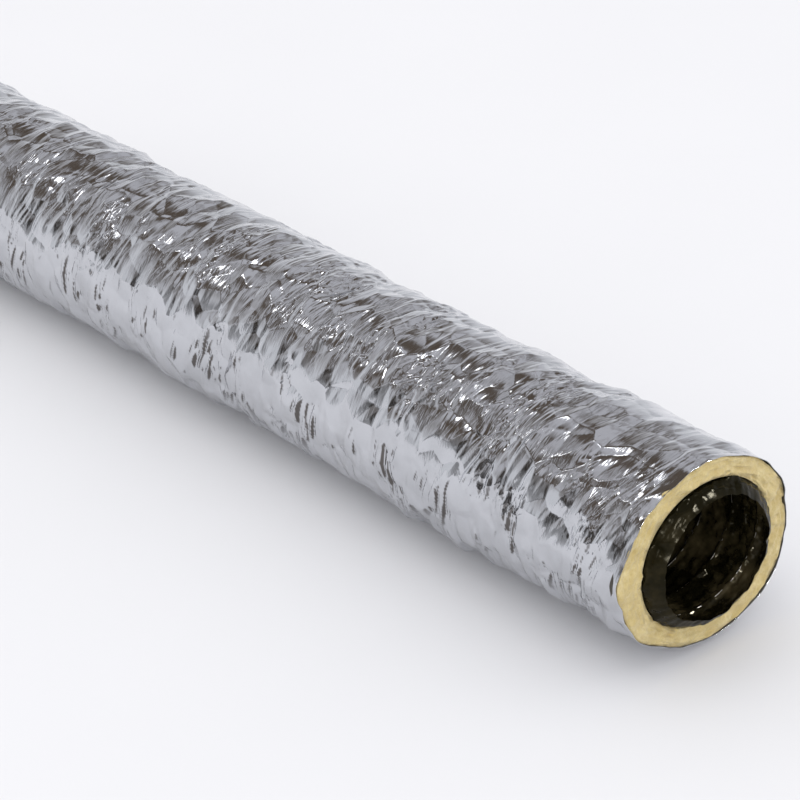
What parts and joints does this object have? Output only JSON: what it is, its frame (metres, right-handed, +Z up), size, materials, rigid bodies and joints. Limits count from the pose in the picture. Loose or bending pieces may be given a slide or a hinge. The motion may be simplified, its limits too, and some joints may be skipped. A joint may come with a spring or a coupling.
{
  "type": "insulated flexible air duct",
  "caption": "Insulated flexible air duct: a wire-ribbed film core in a glass-wool blanket and a crinkled foil jacket, cut with both ends open, in sections that bend and close up.",
  "frame": {"origin": "on the surface that the duct lies on, below the middle of its length", "axes": "+X along the duct to its mouth, +Z up"},
  "size_m": [1.226, 0.1768, 0.1768],
  "materials": {
    "jacket_foil": "gloss",
    "glass_wool": "matte",
    "core_film": "gloss",
    "spring_wire": "satin"
  },
  "bodies": {
    "section_01": {"foil_jacket_01": "jacket_foil", "wool_blanket_01": "glass_wool", "core_outer_ply_01": "core_film", "wire_coil_01": "spring_wire", "core_inner_ply_01": "core_film"},
    "section_02": {"foil_jacket_02": "jacket_foil", "wool_blanket_02": "glass_wool", "core_outer_ply_02": "core_film", "wire_coil_02": "spring_wire", "core_inner_ply_02": "core_film"},
    "section_03": {"foil_jacket_03": "jacket_foil", "wool_blanket_03": "glass_wool", "core_outer_ply_03": "core_film", "wire_coil_03": "spring_wire", "core_inner_ply_03": "core_film"},
    "section_04": {"foil_jacket_04": "jacket_foil", "wool_blanket_04": "glass_wool", "core_outer_ply_04": "core_film", "wire_coil_04": "spring_wire", "core_inner_ply_04": "core_film"},
    "section_05": {"foil_jacket_05": "jacket_foil", "wool_blanket_05": "glass_wool", "core_outer_ply_05": "core_film", "wire_coil_05": "spring_wire", "core_inner_ply_05": "core_film"},
    "section_06": {"foil_jacket_06": "jacket_foil", "wool_blanket_06": "glass_wool", "core_outer_ply_06": "core_film", "wire_coil_06": "spring_wire", "core_inner_ply_06": "core_film"},
    "section_07": {"foil_jacket_07": "jacket_foil", "wool_blanket_07": "glass_wool", "core_outer_ply_07": "core_film", "wire_coil_07": "spring_wire", "core_inner_ply_07": "core_film"},
    "section_08": {"foil_jacket_08": "jacket_foil", "wool_blanket_08": "glass_wool", "core_outer_ply_08": "core_film", "wire_coil_08": "spring_wire", "core_inner_ply_08": "core_film"},
    "section_09": {"foil_jacket_09": "jacket_foil", "wool_blanket_09": "glass_wool", "core_outer_ply_09": "core_film", "wire_coil_09": "spring_wire", "core_inner_ply_09": "core_film"},
    "section_10": {"foil_jacket_10": "jacket_foil", "wool_blanket_10": "glass_wool", "core_outer_ply_10": "core_film", "wire_coil_10": "spring_wire", "core_inner_ply_10": "core_film"},
    "section_11": {"foil_jacket_11": "jacket_foil", "wool_blanket_11": "glass_wool", "core_outer_ply_11": "core_film", "wire_coil_11": "spring_wire", "core_inner_ply_11": "core_film"},
    "section_12": {"foil_jacket_12": "jacket_foil", "wool_blanket_12": "glass_wool", "core_outer_ply_12": "core_film", "wire_coil_12": "spring_wire", "core_inner_ply_12": "core_film"}
  },
  "joints": [
    {"name": "bend_side_01_02", "type": "hinge", "parent": "section_01", "child": "section_02", "pos_m": [0.495, 0, 0.08839], "axis": [0, 0, 1], "range_deg": [-25, 25], "deforming": ["core_inner_ply_01", "core_inner_ply_02", "core_outer_ply_01", "core_outer_ply_02", "wool_blanket_01", "wool_blanket_02", "foil_jacket_01", "foil_jacket_02"]},
    {"name": "bend_up_02_03", "type": "hinge", "parent": "section_02", "child": "section_03", "pos_m": [0.3975, 0, 0.08839], "axis": [0, 1, 0], "range_deg": [-25, 25], "deforming": ["core_inner_ply_03", "core_outer_ply_03", "wool_blanket_03", "foil_jacket_03"]},
    {"name": "slide_03_04", "type": "slide", "parent": "section_03", "child": "section_04", "axis": [-1, 0, 0], "range_m": [-0.026, 0.008], "deforming": ["core_inner_ply_04", "core_outer_ply_04", "wool_blanket_04", "foil_jacket_04"]},
    {"name": "bend_side_04_05", "type": "hinge", "parent": "section_04", "child": "section_05", "pos_m": [0.195, 0, 0.08839], "axis": [0, 0, 1], "range_deg": [-25, 25], "deforming": ["core_inner_ply_05", "core_outer_ply_05", "wool_blanket_05", "foil_jacket_05"]},
    {"name": "bend_up_05_06", "type": "hinge", "parent": "section_05", "child": "section_06", "pos_m": [0.0975, 0, 0.08839], "axis": [0, 1, 0], "range_deg": [-25, 25], "deforming": ["core_inner_ply_06", "core_outer_ply_06", "wool_blanket_06", "foil_jacket_06"]},
    {"name": "slide_06_07", "type": "slide", "parent": "section_06", "child": "section_07", "axis": [-1, 0, 0], "range_m": [-0.026, 0.008], "deforming": ["core_inner_ply_07", "core_outer_ply_07", "wool_blanket_07", "foil_jacket_07"]},
    {"name": "bend_side_07_08", "type": "hinge", "parent": "section_07", "child": "section_08", "pos_m": [-0.105, 0, 0.08839], "axis": [0, 0, 1], "range_deg": [-25, 25], "deforming": ["core_inner_ply_08", "core_outer_ply_08", "wool_blanket_08", "foil_jacket_08"]},
    {"name": "bend_up_08_09", "type": "hinge", "parent": "section_08", "child": "section_09", "pos_m": [-0.2025, 0, 0.08839], "axis": [0, 1, 0], "range_deg": [-25, 25], "deforming": ["core_inner_ply_09", "core_outer_ply_09", "wool_blanket_09", "foil_jacket_09"]},
    {"name": "slide_09_10", "type": "slide", "parent": "section_09", "child": "section_10", "axis": [-1, 0, 0], "range_m": [-0.026, 0.008], "deforming": ["core_inner_ply_10", "core_outer_ply_10", "wool_blanket_10", "foil_jacket_10"]},
    {"name": "bend_side_10_11", "type": "hinge", "parent": "section_10", "child": "section_11", "pos_m": [-0.405, 0, 0.08839], "axis": [0, 0, 1], "range_deg": [-25, 25], "deforming": ["core_inner_ply_11", "core_outer_ply_11", "wool_blanket_11", "foil_jacket_11"]},
    {"name": "bend_up_11_12", "type": "hinge", "parent": "section_11", "child": "section_12", "pos_m": [-0.5025, 0, 0.08839], "axis": [0, 1, 0], "range_deg": [-25, 25], "deforming": ["core_inner_ply_12", "core_outer_ply_12", "wool_blanket_12", "foil_jacket_12"]}
  ]
}
